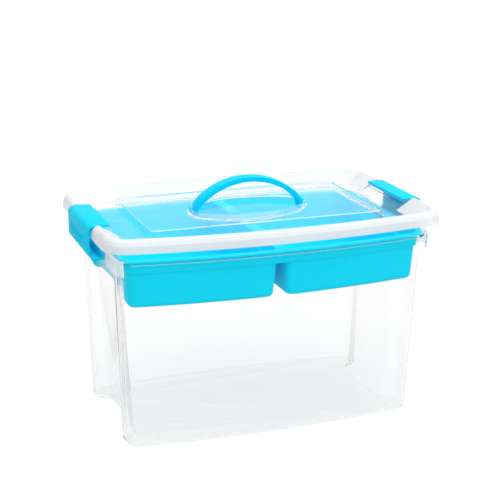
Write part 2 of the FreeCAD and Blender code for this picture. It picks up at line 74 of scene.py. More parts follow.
# lid: a raised panel with a finger recess
PANEL_TOP = 235.6 * MM
RECESS_FLOOR = 226.7 * MM
LID_FLOOR = LID_LOW.z + WALL

# carry handle: its legs leave the arch at the shoulder
ARCH_THICKNESS, FOOT_THICKNESS = 5.6 * MM, 4 * MM
FOOT_X, SHOULDER = 62 * MM, Vector((58.5 * MM, 245 * MM))
PIN_RADIUS = 1.6 * MM

# insert
BAND_LOW = 198.5 * MM
BAND_GAP, WELL_STEP, DIVIDER_HALF = 3 * MM, 2.6 * MM, 7 * MM
WELL_CORNER = 6 * MM

ARC_STEPS = 6
FRONT_POINTS, CORNER_POINTS, SIDE_POINTS, HOLLOW_POINTS = 24, 12, 3, 7


# ---------------------------------------------------------------- plan outlines
def plan(length, width, bow, corner, waist=0.0, mouth=57 * MM, back=49 * MM):
    """A plan of the box: half sizes, the bow of the long sides and the waist in the short ends."""
    return {"length": length, "width": width, "bow": bow, "corner": corner,
            "waist": waist, "mouth": mouth, "back": back}


FLOOR_PLAN = plan(165 * MM, 87.5 * MM, 11 * MM, 15 * MM, waist=17.4 * MM)
LEDGE_PLAN = plan(170 * MM, 102.5 * MM, 13.5 * MM, 17 * MM, waist=6 * MM)
COLLAR_BOW = 15 * MM
COLLAR_PLAN = plan(TUB_HIGH.x - 4 * MM, TUB_HIGH.y - COLLAR_BOW, COLLAR_BOW, 21.5 * MM)
RIM_BOW = 18 * MM
RIM_PLAN = plan(LID_HIGH.x, LID_HIGH.y - RIM_BOW, RIM_BOW, 28 * MM,
                mouth=SADDLE_HALF + 1.2 * MM, back=SADDLE_HALF)
PLATEAU_PLAN = plan(133 * MM, 75 * MM, 0.3 * MM, 6 * MM, mouth=SADDLE_HALF, back=40 * MM)
RECESS_PLAN = plan(65.5 * MM, 12 * MM, 24 * MM, 3 * MM, mouth=6 * MM, back=3 * MM)


def inset(shape, amount):
    """The same plan with every side moved inward."""
    moved = dict(shape)
    moved["length"] -= amount
    moved["width"] -= amount
    moved["corner"] = max(moved["corner"] - amount, 2 * MM)
    if shape["waist"]:
        moved["mouth"] += amount
        moved["back"] += amount
    return moved


def wall_plan(z):
    """The tub's outside plan at a height under the ledge."""
    share = z / LEDGE
    return {key: FLOOR_PLAN[key] + (LEDGE_PLAN[key] - FLOOR_PLAN[key]) * share for key in FLOOR_PLAN}


def rounded(start, corner, end, steps=ARC_STEPS):
    """Points of the round arc that leaves start and reaches end, where corner is their tangents' meeting."""
    before, after = start - corner, end - corner
    weight = math.sin(before.angle(after) / 2) if before.length and after.length else 1.0
    points = []
    for k in range(steps + 1):
        t = k / steps
        parts = (1 - t) ** 2, 2 * weight * t * (1 - t), t * t
        points.append((start * parts[0] + corner * parts[1] + end * parts[2]) / sum(parts))
    return points


def fillet(points, radii, steps=ARC_STEPS):
    """An open line of points whose inner corners are rounded, one radius a corner."""
    points = [Vector(p) for p in points]
    line = [points[0]]
    for before, corner, after, radius in zip(points, points[1:], points[2:], radii):
        a, b = before - corner, after - corner
        reach = min(radius / math.tan(a.angle(b) / 2), 0.48 * a.length, 0.48 * b.length)
        line += rounded(corner + a.normalized() * reach, corner, corner + b.normalized() * reach, steps)
    return line + [points[-1]]


def bow_circle(shape):
    """Radius, and y of the centre, of the circle that the front side follows."""
    radius = (shape["length"] ** 2 + shape["bow"] ** 2) / (2 * shape["bow"])
    return radius, radius - shape["width"] - shape["bow"]


def corner_circle(shape):
    """Centre of the front right corner, and the point where it meets the bowed side."""
    radius, centre = bow_circle(shape)
    x = shape["length"] - shape["corner"]
    y = centre - math.sqrt((radius - shape["corner"]) ** 2 - x**2)
    reach = radius / (radius - shape["corner"])
    return Vector((x, y)), Vector((x * reach, centre + (y - centre) * reach))


def corner_and_side(shape, hollow=0.18, rounding=5 * MM):
    """From the end of the bowed front to the middle of the right end."""
    centre, touch = corner_circle(shape)
    start = math.atan2(touch.y - centre.y, touch.x - centre.x)
    points = []
    for k in range(CORNER_POINTS + 1):
        angle = start * (1 - k / CORNER_POINTS)
        points.append(centre + shape["corner"] * Vector((math.cos(angle), math.sin(angle))))
    length = shape["length"]
    shoulder = length - shape["waist"] * (1 - hollow)
    mouth, back = Vector((length, -shape["mouth"])), Vector((shoulder, -shape["back"]))
    leg = back - mouth
    reach = min(rounding, 0.45 * leg.length)
    first = mouth + Vector((0, -reach))
    for k in range(1, SIDE_POINTS):
        points.append(points[CORNER_POINTS].lerp(first, k / SIDE_POINTS))
    points += rounded(first, mouth, mouth + leg.normalized() * reach)
    points += rounded(back - leg.normalized() * reach, back, back + Vector((0, reach)))
    deep = length - shape["waist"]
    last = points[-1].y
    for k in range(1, HOLLOW_POINTS + 1):
        y = last * (1 - k / HOLLOW_POINTS)
        points.append(Vector((deep + (shoulder - deep) * (y / last) ** 2, y)))
    return points


def quarter(shape):
    """From the middle of the front to the middle of the right end."""
    radius, centre = bow_circle(shape)
    touch = corner_circle(shape)[1]
    turn = math.asin(touch.x / radius)
    front = [Vector((radius * math.sin(turn * k / FRONT_POINTS),
                     centre - radius * math.cos(turn * k / FRONT_POINTS))) for k in range(FRONT_POINTS)]
    return front + corner_and_side(shape)


def ring(shape, z):
    """The whole closed outline at one height."""
    front = quarter(shape)
    right = front + [Vector((p.x, -p.y)) for p in reversed(front[1:-1])]
    right.append(Vector((0, -front[0].y)))
    right = right[:-1]
    return [(p.x, p.y, z) for p in right] + [(-p.x, -p.y, z) for p in right]


def well_ring(shape, edge, corner, z, side):
    """A closed outline of the part of a plan beyond x = edge, with rounded corners on that edge."""
    radius, centre = bow_circle(shape)
    touch = corner_circle(shape)[1]

    def on_bow(x):
        return Vector((x, centre - math.sqrt(radius**2 - x**2)))

    front = [on_bow(edge + corner + (touch.x - edge - corner) * k / FRONT_POINTS)
             for k in range(FRONT_POINTS)]
    half = front + corner_and_side(shape)
    half = rounded(Vector((edge, on_bow(edge).y + corner)), on_bow(edge), front[0])[:-1] + half
    whole = half + [Vector((p.x, -p.y)) for p in reversed(half[:-1])]
    return [(side * p.x, p.y, z) for p in whole]


# ---------------------------------------------------------------- mesh building
def finish_mesh(bm, name, smooth_angle=38):
    """A shaded object from a bmesh, with its normals outward and its sharp edges kept."""
    bmesh.ops.remove_doubles(bm, verts=bm.verts, dist=0.01 * MM)
    bmesh.ops.recalc_face_normals(bm, faces=bm.faces)
    mesh = bpy.data.meshes.new(name)
    bm.to_mesh(mesh)
    bm.free()
    for polygon in mesh.polygons:
        polygon.use_smooth = True
    mesh.set_sharp_from_angle(angle=math.radians(smooth_angle))
    piece = bpy.data.objects.new(name, mesh)
    bpy.context.scene.collection.objects.link(piece)
    return piece


def add_ring(bm, points):
    """New vertices at a list of points."""
    return [bm.verts.new(p) for p in points]


def bridge(bm, first, second):
    """A band of four-sided faces between two closed rings of vertices."""
    count = len(first)
    for i in range(count):
        j = (i + 1) % count
        bm.faces.new((first[i], first[j], second[j], second[i]))


def stack(bm, rings, cap_first=False, cap_last=False):
    """Skins a stack of outlines with the same count of points, and returns its first and last rings."""
    rows = [add_ring(bm, points) for points in rings]
    for lower, upper in zip(rows, rows[1:]):
        bridge(bm, lower, upper)
    if cap_first:
        bm.faces.new(list(reversed(rows[0])))
    if cap_last:
        bm.faces.new(rows[-1])
    return rows[0], rows[-1]


def fill_between(bm, loops, up):
    """Flat faces between closed rings of vertices that lie at one height."""
    edges = []
    for loop in loops:
        for i, vertex in enumerate(loop):
            other = loop[(i + 1) % len(loop)]
            edges.append(bm.edges.get((vertex, other)) or bm.edges.new((vertex, other)))
    bmesh.ops.triangle_fill(bm, use_beauty=True, edges=edges, normal=(0, 0, up))


def levels(shape_at, outline):
    """Rings for a list of (inset, height) pairs on a plan that depends on height."""
    return [ring(inset(shape_at(z), amount), z) for amount, z in outline]


def fixed(shape):
    """A plan that is the same at every height, for levels()."""
    return lambda z: shape


def sweep(bm, path, normals, half_widths, thicknesses, rounding, steps=3):
    """A flat strap along a path in the XZ plane: rounded rectangles, wide along Y."""
    rings = []
    for (x, z), (nx, nz), half_width, thickness in zip(path, normals, half_widths, thicknesses):
        soft = min(rounding, half_width * 0.9, thickness * 0.49)
        section = []
        for sy, sn, start in ((1, 1, 0), (-1, 1, 90), (-1, -1, 180), (1, -1, 270)):
            for k in range(steps + 1):
                angle = math.radians(start + 90 * k / steps)
                y = sy * (half_width - soft) + soft * math.cos(angle)
                n = sn * (thickness / 2 - soft) + soft * math.sin(angle)
                section.append((x + nx * n, y, z + nz * n))
        rings.append(section)
    stack(bm, rings, cap_first=True, cap_last=True)


def path_normals(path):
    """Left-hand normals of an open path in the XZ plane."""
    normals = []
    for i in range(len(path)):
        along = Vector(path[min(i + 1, len(path) - 1)]) - Vector(path[max(i - 1, 0)])
        along.normalize()
        normals.append((-along.y, along.x))
    return normals


def rounded_block(bm, low, high, radius, segments=3):
    """A block with rounded edges between two corners."""
    result = bmesh.ops.create_cube(bm, size=1.0)
    low, high = Vector(low), Vector(high)
    for vertex in result["verts"]:
        for axis in range(3):
            vertex.co[axis] = high[axis] if vertex.co[axis] > 0 else low[axis]
    edges = list(dict.fromkeys(edge for vertex in result["verts"] for edge in vertex.link_edges))
    bmesh.ops.bevel(bm, geom=edges, offset=radius, segments=segments, profile=0.5,
                    affect="EDGES", clamp_overlap=True)


def round_bar(bm, start, end, radius, count=24, edge=0.3 * MM):
    """A round bar with softened ends."""
    start, end = Vector(start), Vector(end)
    along = (end - start).normalized()
    side = along.orthogonal().normalized()
    other = along.cross(side)
    rings = []
    for place, r in ((start, radius - edge), (start + along * edge, radius),
                     (end - along * edge, radius), (end, radius - edge)):
        rings.append([place + r * (math.cos(a) * side + math.sin(a) * other)
                      for a in (2 * math.pi * k / count for k in range(count))])
    stack(bm, rings, cap_first=True, cap_last=True)


# ---------------------------------------------------------------- materials
TRAPPED_DEPTH = 7                   # bounces after which a ray in clear plastic goes straight on
GLOSSY, HAZY, MILKY = (0.03, 0.06), (0.10, 0.16), (0.14, 0.20)
FROSTED, SATIN = (0.12, 0.18), (0.42, 0.54)


def nodes_of(name):
    """A new material with its node tree and its main shader."""
    material = bpy.data.materials.new(name)
    material.use_nodes = True
    tree = material.node_tree
    return material, tree, tree.nodes["Principled BSDF"]


def add_noise(tree, scale, detail=3.0):
    """Noise over the piece's own coordinates, in metres."""
    coordinates = tree.nodes.new("ShaderNodeTexCoord")
    noise = tree.nodes.new("ShaderNodeTexNoise")
    noise.inputs["Scale"].default_value = scale
    noise.inputs["Detail"].default_value = detail
    tree.links.new(coordinates.outputs["Object"], noise.inputs["Vector"])
    return noise.outputs["Fac"]


def spread(tree, source, low, high):
    """Maps a 0 to 1 value on to a range."""
    mapping = tree.nodes.new("ShaderNodeMapRange")
    mapping.inputs["To Min"].default_value = low
    mapping.inputs["To Max"].default_value = high
    tree.links.new(source, mapping.inputs["Value"])
    return mapping.outputs["Result"]


def combine(tree, operation, first, second):
    """One maths node on an output and either another output or a number."""
    node = tree.nodes.new("ShaderNodeMath")
    node.operation = operation
    tree.links.new(first, node.inputs[0])
    if isinstance(second, bpy.types.NodeSocket):
        tree.links.new(second, node.inputs[1])
    else:
        node.inputs[1].default_value = second
    return node.outputs["Value"]


def seen_plainly(tree):
    """1 for a ray straight from the camera or one that has gone through clear plastic, unless it has just
    left a dull surface: such rays meet plain white, so that clear walls don't darken what is behind them."""
    path = tree.nodes.new("ShaderNodeLightPath")
    through = combine(tree, "GREATER_THAN", path.outputs["Transmission Depth"], 0.5)
    clear = combine(tree, "SUBTRACT", through, path.outputs["Is Diffuse Ray"])
    return combine(tree, "MAXIMUM", path.outputs["Is Camera Ray"], clear)


def add_bump(tree, shader, height, strength, distance):
    """Raises a shader's surface by a 0 to 1 height."""
    bump = tree.nodes.new("ShaderNodeBump")
    bump.inputs["Strength"].default_value = strength
    bump.inputs["Distance"].default_value = distance
    tree.links.new(height, bump.inputs["Height"])
    tree.links.new(bump.outputs["Normal"], shader.inputs["Normal"])


def clear_plastic(name, tint, edge, clearness, index, rough, passes):
    """Clear moulded plastic: faint flow marks, a little uneven in its gloss, and painted shade that greys it
    where it is seen edge on. The room's light reaches what is inside, and a ray trapped in a wall gets out."""
    material, tree, shader = nodes_of(name)
    # painted shade: the base colour turns to the grey edge value where the surface is seen edge on, standing
    # in for the darkening that refraction gives there
    weight = tree.nodes.new("ShaderNodeLayerWeight")
    weight.inputs["Blend"].default_value = 0.35
    shade = tree.nodes.new("ShaderNodeMix")
    shade.data_type = "RGBA"
    shade.inputs["A"].default_value = (*tint, 1)
    shade.inputs["B"].default_value = (edge, edge, edge, 1)
    tree.links.new(weight.outputs["Facing"], shade.inputs["Factor"])
    tree.links.new(shade.outputs["Result"], shader.inputs["Base Color"])
    shader.inputs["Transmission Weight"].default_value = clearness
    shader.inputs["IOR"].default_value = index
    tree.links.new(spread(tree, add_noise(tree, 18), *rough), shader.inputs["Roughness"])
    add_bump(tree, shader, add_noise(tree, 30, 2.0), 0.02, 0.3 * MM)
    path = tree.nodes.new("ShaderNodeLightPath")
    lighting = combine(tree, "MAXIMUM", path.outputs["Is Shadow Ray"], path.outputs["Is Diffuse Ray"])
    trapped = combine(tree, "GREATER_THAN", path.outputs["Ray Depth"], TRAPPED_DEPTH)
    through = tree.nodes.new("ShaderNodeBsdfTransparent")
    through.inputs["Color"].default_value = (passes, passes, passes, 1)
    mix = tree.nodes.new("ShaderNodeMixShader")
    tree.links.new(combine(tree, "MAXIMUM", lighting, trapped), mix.inputs["Fac"])
    tree.links.new(shader.outputs["BSDF"], mix.inputs[1])
    tree.links.new(through.outputs["BSDF"], mix.inputs[2])
    tree.links.new(mix.outputs["Shader"], tree.nodes["Material Output"].inputs["Surface"])
    return material


def coloured_plastic(name, light, deep):
    """Opaque dyed plastic: slight unevenness of the dye, satin gloss, very fine texture."""
    material, tree, shader = nodes_of(name)
    dye = tree.nodes.new("ShaderNodeMix")
    dye.data_type = "RGBA"
    dye.inputs["A"].default_value = (*deep, 1)
    dye.inputs["B"].default_value = (*light, 1)
    tree.links.new(spread(tree, add_noise(tree, 25), 0.35, 0.75), dye.inputs["Factor"])
    tree.links.new(dye.outputs["Result"], shader.inputs["Base Color"])
    tree.links.new(spread(tree, add_noise(tree, 60), *SATIN), shader.inputs["Roughness"])
    shader.inputs["Specular IOR Level"].default_value = 0.05
    add_bump(tree, shader, add_noise(tree, 1500, 2.0), 0.12, 0.05 * MM)
    return material


# edge: the grey of each plastic's painted shade where it is seen edge on
CLEAR_TUB = clear_plastic("clear_tub_plastic", (0.940, 0.938, 0.937), edge=0.87, clearness=1.0,
                          index=1.13, rough=GLOSSY, passes=0.985)
# painted shade: the tub floor's tint is darker than the walls' and leans warm, standing in for the shade
# under the insert and cancelling the cyan light the insert bounces on to it
CLEAR_BASE = clear_plastic("clear_base_plastic", (0.915, 0.895, 0.888), edge=0.90, clearness=0.99,
                           index=1.16, rough=GLOSSY, passes=0.985)
CLEAR_LID = clear_plastic("clear_lid_plastic", (0.995, 0.995, 0.995), edge=0.98, clearness=0.95,
                          index=1.05, rough=FROSTED, passes=0.99)
# milky plastic for the lid's rolled rim; on the tub it also paints a highlight along the collar's foot
MILKY_RIM_AND_HIGHLIGHT = clear_plastic("milky_rim_and_highlight_plastic", (0.80, 0.80, 0.80), edge=0.84, clearness=0.42,
                          index=1.35, rough=MILKY, passes=0.96)
CLEAR_SKIRT = clear_plastic("clear_skirt_plastic", (0.93, 0.95, 0.92), edge=0.92, clearness=0.74,
                            index=1.10, rough=HAZY, passes=0.96)
CYAN_LATCH = coloured_plastic("cyan_latch_plastic", (0.0, 0.60, 0.82), (0.0, 0.55, 0.78))
# painted light: the same cyan plastic as the latches, painted brighter to stand in for the light the tray
# loses under the lid and inside the tub
CYAN_TRAY_PAINTED_BRIGHTER = coloured_plastic("cyan_tray_plastic_painted_brighter", (0.0, 0.75, 0.99), (0.0, 0.70, 0.97))


def settle(piece, body, node, material):
    """Gives a finished piece its body and its material, and hides the CAD node that it stands for."""
    piece.data.materials.append(material)
    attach(piece, body)
    if node:
        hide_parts(node)
    return piece


def zones(piece, materials, zone_at):
    """Gives a piece more materials, and each of its faces the number that zone_at says for its centre."""
    for material in materials:
        piece.data.materials.append(material)
    for polygon in piece.data.polygons:
        x, y, z = polygon.center
        polygon.material_index = zone_at(abs(x), abs(y), z)
    return piece


def beyond(shape, x, y):
    """Whether a place in the first quarter lies outside a plan, its corners taken as sharp."""
    radius, centre = bow_circle(shape)
    return x > shape["length"] or y > math.sqrt(radius**2 - x**2) - centre


# ---------------------------------------------------------------- tub
def make_tub():
    """One skin: up the outside, over the collar and down the inside to the floor."""
    bottom = fillet([(12 * MM, 0), (0, 0), (0, 12 * MM)], [4.5 * MM])
    outer = levels(wall_plan, bottom[1:-1])
    outer += levels(wall_plan, [(0, z) for z in WALL_LEVELS])
    outer += levels(wall_plan, [(0, SHELF - 1.0 * MM), (-0.3 * MM, SHELF - 0.3 * MM), (-1.0 * MM, SHELF)])
    lip = fillet([(1.5 * MM, SHELF), (0, SHELF), (0, TUB_HIGH.z), (WALL, TUB_HIGH.z), (WALL, LEDGE),
                  (4 * MM, LEDGE)], [1.2 * MM, 0.9 * MM, 0.9 * MM, 0.8 * MM])
    collar = levels(fixed(COLLAR_PLAN), lip)
    inner = levels(wall_plan, [(WALL - 0.7 * MM, LEDGE), (WALL - 0.2 * MM, LEDGE - 0.2 * MM),
                               (WALL, LEDGE - 0.8 * MM)])
    inner += levels(wall_plan, [(WALL, z) for z in reversed(WALL_LEVELS)])
    floor_edge = fillet([(WALL, 12 * MM), (WALL, WALL), (14 * MM, WALL)], [4 * MM])
    inner += levels(wall_plan, floor_edge[1:-1])
    bm = bmesh.new()
    stack(bm, outer + collar + inner, cap_first=True, cap_last=True)
    piece = settle(finish_mesh(bm, "tub_shell"), "tub", "tub", CLEAR_TUB)
    return zones(piece, [MILKY_RIM_AND_HIGHLIGHT, CLEAR_BASE], tub_zone)


def tub_zone(x, y, z):
    """The tub's material numbers: the line under the collar is milky, a painted highlight along the collar's
    foot, and the floor is a little darker and warmer, as painted shade.
    """
    # painted highlight: a milky strip round the collar's rounded foot stands in for the bright line that
    # light makes along that edge
    if SHELF - 0.2 * MM < z < SHELF + 1.7 * MM and beyond(inset(COLLAR_PLAN, 1.5 * MM), x, y):
        return 1
    # the floor takes the darker, warmer tint of painted shade
    return 2 if z < WALL + 0.5 * MM else 0


def make_corner_skirts():
    """The short skirts that hang from the collar round the corners, and carry the hinge rods."""
    edge = -4 * MM
    section = fillet([(-0.2 * MM, FLANGE_TOP), (edge, FLANGE_TOP), (edge + 1 * MM, SKIRT_LOW),
                      (edge + 1 * MM + WALL, SKIRT_LOW), (edge + WALL, LEDGE), (-0.2 * MM, LEDGE)],
                     [2.5 * MM, 0.8 * MM, 0.8 * MM, 1.2 * MM], steps=3)
    corner = [i for i, p in enumerate(quarter(COLLAR_PLAN)) if p.x > 168 * MM and p.y < -58 * MM]
    rows = []
    for amount, z in section:
        front = quarter(inset(COLLAR_PLAN, amount))
        rows.append([(front[i].x, front[i].y, z) for i in corner])
    rib_low, rib_high = SKIRT_LOW + 0.3 * MM, LEDGE + 0.5 * MM
    bm = bmesh.new()
    for sx in (1, -1):
        for sy in (1, -1):
            sections = [[(sx * row[i][0], sy * row[i][1], row[i][2]) for row in rows]
                        for i in range(len(rows[0]))]
            stack(bm, sections, cap_first=True, cap_last=True)
            x0, x1 = sorted((sx * 169 * MM, sx * 178 * MM))
            y0, y1 = sorted((sy * 58 * MM, sy * 60.5 * MM))
            rounded_block(bm, (x0, y0, rib_low), (x1, y1, rib_high), 0.5 * MM)
        round_bar(bm, (sx * ROD.x, -ROD_HALF, ROD.z), (sx * ROD.x, ROD_HALF, ROD.z), ROD_RADIUS)
    return settle(finish_mesh(bm, "corner_skirts"), "tub", None, CLEAR_SKIRT)


# ---------------------------------------------------------------- lid
def press_saddles(rings, radius):
    """Presses the rim in where the latches lie over it: nothing beyond a radius from their rods."""
    pressed = []
    for points in rings:
        row = []
        for x, y, z in points:
            dx, dz = abs(x) - ROD.x, z - ROD.z
            reach = math.hypot(dx, dz)
            if abs(y) <= SADDLE_HALF + 0.1 * MM and reach > radius and dx > -2 * MM:
                x = math.copysign(ROD.x + dx * radius / reach, x)
                z = ROD.z + dz * radius / reach
            row.append((x, y, z))
        pressed.append(row)
    return pressed


def lid_top():
    """Rings over the lid's top: the rim from its foot inward, the panel, and the finger recess."""
    low, crest = LID_LOW.z, LID_HIGH.z
    rim = fillet([(WALL, low), (0, low), (1.0 * MM, 233 * MM), (2.9 * MM, 236.9 * MM), (6 * MM, crest),
                  (8.5 * MM, crest), (28 * MM, LID_FLOOR), (34 * MM, LID_FLOOR)],
                 [0.8 * MM, 1.3 * MM, 4 * MM, 3 * MM, 3 * MM, 5 * MM])
    plateau = fillet([(-6 * MM, LID_FLOOR), (-2.5 * MM, LID_FLOOR), (0, PANEL_TOP), (8 * MM, PANEL_TOP)],
                     [2 * MM, 1.6 * MM])
    recess = fillet([(-5 * MM, PANEL_TOP), (0, PANEL_TOP), (3.4 * MM, RECESS_FLOOR),
                     (9 * MM, RECESS_FLOOR)], [1.2 * MM, 2.5 * MM])
    rings = press_saddles(levels(fixed(RIM_PLAN), rim), SADDLE_REACH)
    return rings + levels(fixed(PLATEAU_PLAN), plateau) + levels(fixed(RECESS_PLAN), recess)


def lid_underside():
    """Rings under the lid, in the same order, one wall lower."""
    low, panel, recess_floor = LID_LOW.z, PANEL_TOP - WALL, RECESS_FLOOR - WALL + 0.1 * MM
    rim = fillet([(WALL, low), (2.9 * MM, 232.4 * MM), (7.2 * MM, 236.6 * MM), (8.6 * MM, 236.2 * MM),
                  (28.6 * MM, low), (34 * MM, low)], [1.5 * MM, 1.2 * MM, 1.5 * MM, 4 * MM])
    plateau = fillet([(-6 * MM, low), (-0.5 * MM, low), (WALL, panel), (8 * MM, panel)],
                     [1 * MM, 1 * MM])
    recess = fillet([(-6 * MM, panel), (-WALL, panel), (1.4 * MM, recess_floor),
                     (7 * MM, recess_floor)], [1 * MM, 2 * MM])
    rings = press_saddles(levels(fixed(RIM_PLAN), rim), SADDLE_REACH - WALL)
    return rings + levels(fixed(PLATEAU_PLAN), plateau) + levels(fixed(RECESS_PLAN), recess)


def make_lid():
    """One skin: out along the underside, and in over the rim and the panel to the recess."""
    bm = bmesh.new()
    stack(bm, list(reversed(lid_underside()))[:-1] + lid_top(), cap_first=True, cap_last=True)
    piece = settle(finish_mesh(bm, "lid_shell"), "lid", "lid", CLEAR_LID)
    return zones(piece, [MILKY_RIM_AND_HIGHLIGHT, CLEAR_SKIRT], lid_zone)


def lid_zone(x, y, z):
    """The lid's material numbers: milky on the rolled rim and down its long sides, hazy round the panel."""
    roll, slope = beyond(inset(RIM_PLAN, 9 * MM), x, y), beyond(inset(RIM_PLAN, 28 * MM), x, y)
    if roll or slope and y > SADDLE_HALF:
        return 1
    edge = PANEL_TOP - 1.2 * MM < z < PANEL_TOP - 0.02 * MM
    return 2 if edge and beyond(inset(PLATEAU_PLAN, 3 * MM), x, y) else 0


def make_pivot_ears():
    """The pair of ears at the ends of the finger recess that the handle's pins turn in."""
    inner, length, half_width = HANDLE_HIGH.x - 3.2 * MM, 4.6 * MM, 5 * MM
    low, high = 227 * MM, 238.6 * MM
    bm = bmesh.new()
    for side in (1, -1):
        x0, x1 = sorted((side * inner, side * (inner + length)))
        rounded_block(bm, (x0, -half_width, low), (x1, half_width, high), 1.2 * MM)
    return settle(finish_mesh(bm, "pivot_ears"), "lid", None, CLEAR_LID)


# ---------------------------------------------------------------- carry handle
def handle_path():
    """The right half of the strap's middle line: down the arch, along the leg, round the foot."""
    rise = HANDLE_HIGH.z - SHOULDER.y
    radius = (SHOULDER.x**2 + rise**2) / (2 * rise)
    centre_z = HANDLE_HIGH.z - radius
    middle = radius - ARCH_THICKNESS / 2
    turn = math.asin(SHOULDER.x / radius)
    arch = [Vector((middle * math.sin(turn * k / 12), centre_z + middle * math.cos(turn * k / 12)))
            for k in range(12)]
    leg_top = Vector((middle * math.sin(turn), centre_z + middle * math.cos(turn)))
    foot = Vector((FOOT_X, PIVOT.z))
    foot_low = Vector((FOOT_X + 0.2 * MM, PIVOT.z - HANDLE_HIGH.y))
    leg = rounded(arch[-1], leg_top, leg_top.lerp(foot, 0.7), 8)
    shares = [k / 10 for k in range(1, 10)] + [0.96, 0.995]
    return arch[:-1] + leg + [foot] + [foot.lerp(foot_low, share) for share in shares]


def make_handle():
    """One strap: a low arch on two splayed legs with round feet, and a pin outside each foot."""
    half = handle_path()
    path = [Vector((-p.x, p.y)) for p in reversed(half[1:])] + half
    half_width = HANDLE_HIGH.y
    widths, thicknesses = [], []
    for p in path:
        drop = max(PIVOT.z - p.y, 0.0)
        widths.append(math.sqrt(max(half_width**2 - drop**2, (0.6 * MM) ** 2)))
        share = min(max((p.y - PIVOT.z) / (SHOULDER.y - PIVOT.z), 0.0), 1.0)
        thicknesses.append(FOOT_THICKNESS + (ARCH_THICKNESS - FOOT_THICKNESS) * share)
    bm = bmesh.new()
    sweep(bm, path, path_normals(path), widths, thicknesses, 0.7 * MM)
    for side in (1, -1):
        foot, end = (side * FOOT_X, 0, PIVOT.z), (side * HANDLE_HIGH.x, 0, PIVOT.z)
        round_bar(bm, foot, end, PIN_RADIUS, count=16)
    piece = finish_mesh(bm, "handle_strap")
    return settle(piece, "carry_handle", "carry_handle", CYAN_LATCH)


# ---------------------------------------------------------------- latches
def latch_widths(path, half_width, corner):
    """Half widths along a latch: its free edge has rounded corners."""
    widths, travelled = [], 0.0
    for i, point in enumerate(path):
        if i:
            travelled += (Vector(point) - Vector(path[i - 1])).length
        missing = max(corner - travelled, 0.0)
        widths.append(half_width - corner + math.sqrt(max(corner**2 - missing**2, 0.0)))
    return widths


def make_latch(name, side):
    """A J-shaped clip with a split barrel round the tub's rod and rows of grip bumps outside."""
    skin_out = LATCH_HIGH.x - GRIP_HEIGHT
    half_width = LATCH_HIGH.y
    top, low = LATCH_HIGH.z - LATCH_WALL / 2, LATCH_LOW.z + LATCH_WALL / 2
    barrel, barrel_wall, barrel_half = 3.5 * MM, 1.8 * MM, half_width - 0.4 * MM
    out = skin_out - LATCH_WALL / 2
    tip = [(LATCH_LOW.x + d * MM, top) for d in (0, 0.25, 0.7, 1.4, 2.3, 3.4)]
    bend = fillet([tip[-1], (out, top), (out, low), (ROD.x, low)], [5.5 * MM, 11 * MM], steps=10)
    path = tip[:-1] + [tuple(p) for p in bend]
    bm = bmesh.new()
    widths = latch_widths(path, half_width, 3.4 * MM)
    sweep(bm, path, path_normals(path), widths, [LATCH_WALL] * len(path), 1.0 * MM)
    clip = [(ROD.x + barrel * math.cos(math.radians(a)), ROD.z + barrel * math.sin(math.radians(a)))
            for a in range(145, -146, -10)]
    count = len(clip)
    sweep(bm, clip, path_normals(clip), [barrel_half] * count, [barrel_wall] * count, 0.6 * MM)
    add_grip(bm, skin_out, half_width)
    for vertex in bm.verts:
        if side < 0:
            vertex.co.x, vertex.co.y = -vertex.co.x, -vertex.co.y
    return settle(finish_mesh(bm, f"{name}_shell"), name, name, CYAN_LATCH)


def add_grip(bm, face_x, half_width):
    """Bowed rows of small domes on the outer face."""
    rows, columns, pitch, row_pitch = 4, 23, 3.1 * MM, 2.7 * MM
    top, sag = 226.5 * MM, 5 * MM
    for row in range(rows):
        for column in range(columns - row % 2):
            y = (column - (columns - 1 - row % 2) / 2) * pitch
            z = top - row * row_pitch - sag * (1 - (y / half_width) ** 2)
            dome(bm, Vector((face_x, y, z)), 1.0 * MM, GRIP_HEIGHT)


def dome(bm, base, radius, height, count=10):
    """A low round bump that faces along X, its foot sunk a little in to the wall."""
    rings = []
    for share in (1.0, 0.8, 0.45):
        out = -0.2 * MM if share == 1.0 else height * math.sqrt(1 - share**2)
        rings.append([base + Vector((out, radius * share * math.cos(a), radius * share * math.sin(a)))
                      for a in (2 * math.pi * k / count for k in range(count))])
    stack(bm, rings, cap_first=True, cap_last=True)


# ---------------------------------------------------------------- tray insert
def slot_half(z):
    """Half width of the slot between the wells: a little wider at its foot."""
    return (5.0 + 1.2 * (BAND_LOW - z) / (BAND_LOW - INSERT_LOW.z)) * MM


def well_outside(side):
    """Rings down the outside of one well."""
    start, low = BAND_GAP + WELL_STEP, INSERT_LOW.z
    edge = fillet([(start, BAND_LOW), (start + 1 * MM, low), (start + 12 * MM, low)], [6 * MM])
    return [well_ring(inset(wall_plan(z), amount), slot_half(z) + (amount - BAND_GAP - WELL_STEP),
                      WELL_CORNER, z, side) for amount, z in edge[:-1]]


def well_inside(side):
    """Rings down the inside of one well, from the flange's top to the well's floor."""
    start, floor = BAND_GAP + WALL, INSERT_LOW.z + WALL
    mouth = fillet([(start - 2 * MM, FLANGE_TOP), (start, FLANGE_TOP), (start, BAND_LOW + WALL),
                    (start + WELL_STEP, BAND_LOW + WALL), (start + WELL_STEP + 1 * MM, floor),
                    (start + WELL_STEP + 12 * MM, floor)], [1.2 * MM, 1 * MM, 1 * MM, 5 * MM], steps=4)
    return [well_ring(inset(wall_plan(z), amount), DIVIDER_HALF + amount - start, WELL_CORNER, z, side)
            for amount, z in mouth[1:-1]]


